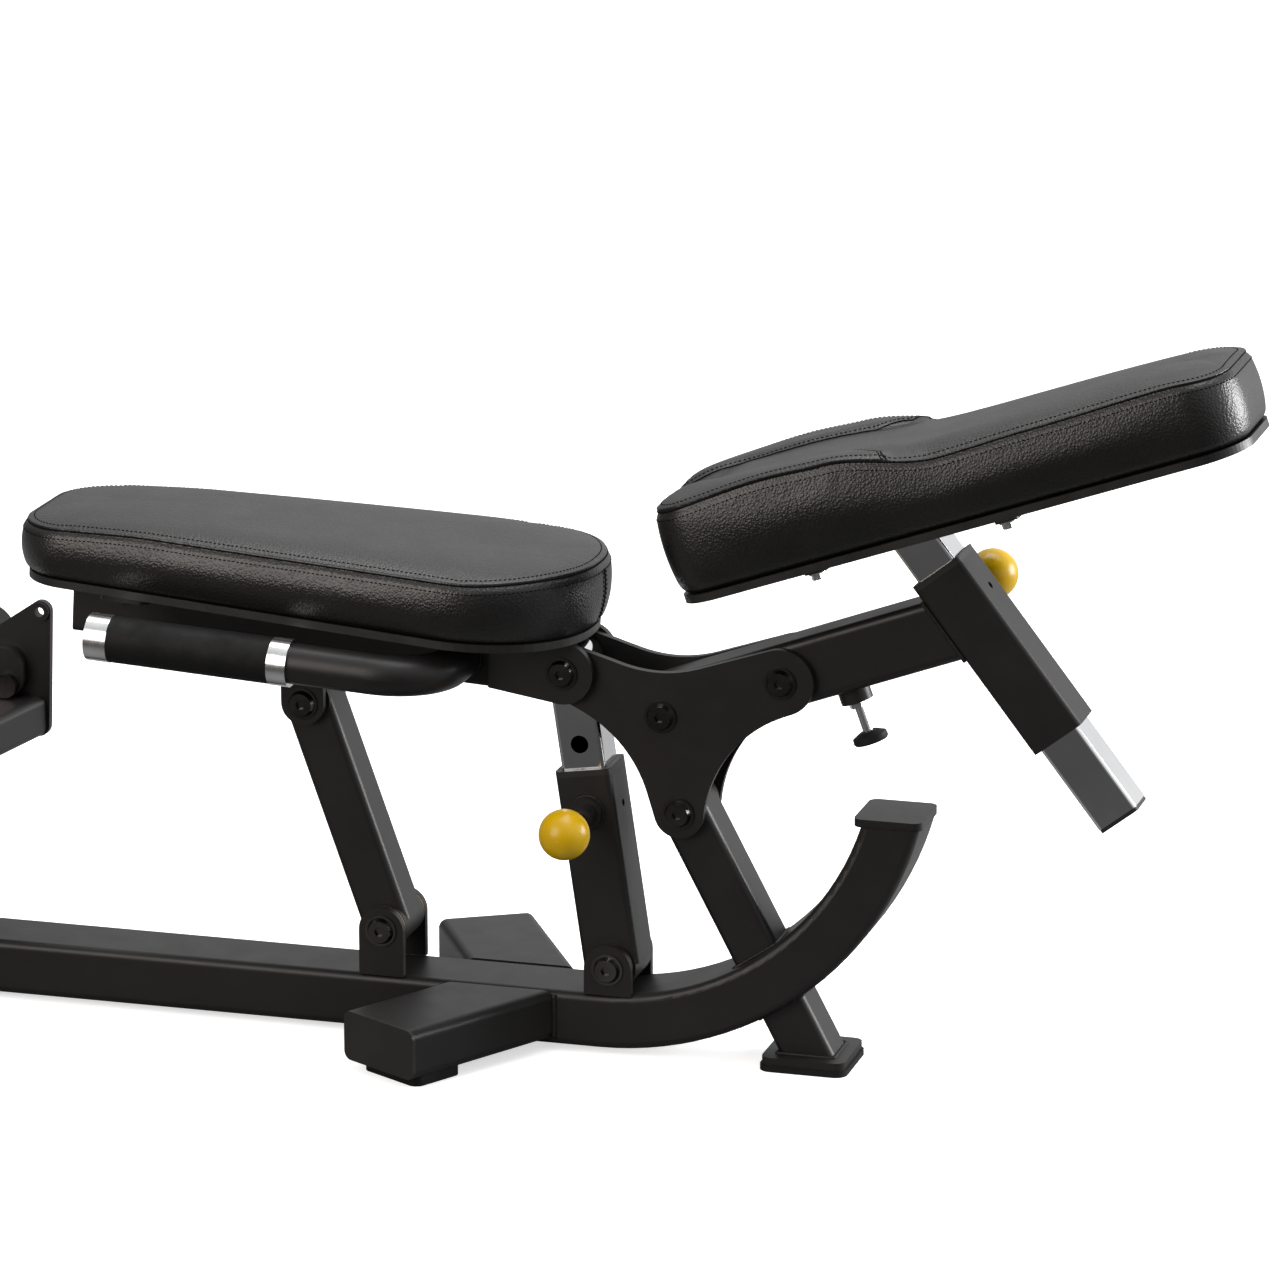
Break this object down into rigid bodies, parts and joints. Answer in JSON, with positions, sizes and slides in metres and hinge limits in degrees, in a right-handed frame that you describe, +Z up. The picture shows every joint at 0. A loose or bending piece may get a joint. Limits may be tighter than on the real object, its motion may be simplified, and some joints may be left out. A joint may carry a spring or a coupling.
{
  "type": "adjustable weight bench",
  "caption": "Adjustable weight bench: linked seat and backrest on a single steel beam with swept feet, telescopic pin struts, side grips and a front roller yoke.",
  "frame": {"origin": "on the floor, at the middle of the bench's box in X and Y", "axes": "+X along the bench from the front roller yoke towards the backrest's upper end, +Y across to the side of the backrest's knob, +Z up"},
  "size_m": [1.435, 0.522, 0.7303],
  "materials": {
    "black_coat": "satin",
    "foot_rubber": "matte",
    "black_plastic": "matte",
    "black_bolt": "gloss",
    "bronze": "satin",
    "zinc": "satin",
    "yellow_plastic": "gloss",
    "chrome": "polished",
    "grip_rubber": "matte",
    "aluminium": "satin",
    "board": "matte",
    "leather": "satin"
  },
  "bodies": {
    "frame": {"main_beam": "black_coat", "beam_end_plate": "black_coat", "rear_leg": "black_coat", "rear_foot_plate": "black_coat", "rear_foot_pad": "foot_rubber", "outriggers": "black_coat", "outrigger_caps": "black_plastic", "outrigger_feet": "foot_rubber", "link_ears": "black_coat", "strut_ears": "black_coat", "front_post": "black_coat", "front_foot": "black_coat", "front_foot_caps": "black_plastic", "front_foot_pads": "foot_rubber", "bracket_cross_tube": "black_coat", "bracket_plates": "black_coat", "bracket_lugs": "black_coat", "frame_bolts": "black_bolt", "frame_washers": "bronze"},
    "roller_yoke": {"yoke_arms": "black_coat", "yoke_bar": "chrome"},
    "left_roller": {"roller_left": "grip_rubber"},
    "right_roller": {"roller_right": "grip_rubber"},
    "front_link": {"link_tube": "black_coat"},
    "strut_lower": {"strut_sleeve": "black_coat", "strut_guide": "black_plastic", "strut_pin_barrel": "black_coat"},
    "strut_plunger": {"strut_pin": "zinc", "strut_knob": "yellow_plastic"},
    "strut_upper": {"strut_post": "chrome"},
    "back_arm": {"shaped_plates": "black_coat", "arm_tube": "black_coat", "arm_bolts": "black_bolt", "arm_washers": "bronze", "post_sleeve": "black_coat", "post_guide": "black_plastic", "post_pin_barrel": "black_coat", "stop_boss": "black_coat", "stop_nut": "zinc"},
    "post_plunger": {"post_pin": "zinc", "post_knob": "yellow_plastic"},
    "arm_stop": {"stop_screw": "zinc", "stop_pad": "foot_rubber"},
    "seat": {"seat_rail": "black_coat", "seat_side_plates": "black_coat", "link_head_ears": "black_coat", "seat_bolts": "black_bolt", "seat_washers": "bronze", "handle_tubes": "black_coat", "handle_grips": "grip_rubber", "grip_rings": "aluminium", "seat_straps": "black_coat", "seat_board": "board", "seat_pad": "leather"},
    "backrest": {"back_post": "chrome", "back_post_plug": "black_plastic", "back_mount": "black_coat", "back_bolts": "zinc", "back_board": "board", "back_pad": "leather"}
  },
  "joints": [
    {"name": "back_tilt", "type": "hinge", "parent": "frame", "child": "back_arm", "pos_m": [0.1589, 0, 0.2531], "axis": [0, -1, 0], "range_deg": [-20, 20]},
    {"name": "link_swing", "type": "hinge", "parent": "frame", "child": "front_link", "pos_m": [-0.1456, 0, 0.1087], "axis": [0, -1, 0], "range_deg": [-13.5, 13.5]},
    {"name": "strut_swing", "type": "hinge", "parent": "frame", "child": "strut_lower", "pos_m": [0.088, 0, 0.089], "axis": [0, -1, 0], "range_deg": [-10.5, 10.5]},
    {"name": "strut_slide", "type": "slide", "parent": "strut_lower", "child": "strut_upper", "axis": [-0.1465, 0, 0.9892], "range_m": [-0.0335, 0.0335]},
    {"name": "seat_pivot", "type": "hinge", "parent": "back_arm", "child": "seat", "pos_m": [0.0437, 0, 0.3882], "axis": [0, -1, 0], "range_deg": [-25, 25]},
    {"name": "back_lift", "type": "slide", "parent": "back_arm", "child": "backrest", "axis": [-0.6143, 0, 0.7891], "range_m": [-0.025, 0.067]},
    {"name": "strut_pin_pull", "type": "slide", "parent": "strut_lower", "child": "strut_plunger", "axis": [0, -1, 0], "range_m": [0, 0.012], "stiffness_N_per_m": 500, "springref_m": -0.01},
    {"name": "post_pin_pull", "type": "slide", "parent": "back_arm", "child": "post_plunger", "axis": [0, 1, 0], "range_m": [0, 0.012], "stiffness_N_per_m": 500, "springref_m": -0.01},
    {"name": "stop_screw_set", "type": "slide", "parent": "back_arm", "child": "arm_stop", "axis": [-0.342, 0, 0.9397], "range_m": [0, 0.008]},
    {"name": "yoke_tilt", "type": "hinge", "parent": "frame", "child": "roller_yoke", "pos_m": [-0.584, 0, 0.296], "axis": [0, 1, 0], "range_deg": [0, 45]},
    {"name": "left_roller_spin", "type": "hinge", "parent": "roller_yoke", "child": "left_roller", "pos_m": [-0.676, 0, 0.296], "axis": [0, 1, 0], "continuous": true},
    {"name": "right_roller_spin", "type": "hinge", "parent": "roller_yoke", "child": "right_roller", "pos_m": [-0.676, 0, 0.296], "axis": [0, 1, 0], "continuous": true}
  ],
  "couplings": [
    {"joint": "link_swing", "follows": "back_tilt", "ratio": 0.6459},
    {"joint": "strut_swing", "follows": "back_tilt", "ratio": 0.4976},
    {"joint": "strut_slide", "follows": "back_tilt", "m_per_rad": -0.0937},
    {"joint": "seat_pivot", "follows": "back_tilt", "ratio": -1.2293}
  ]
}
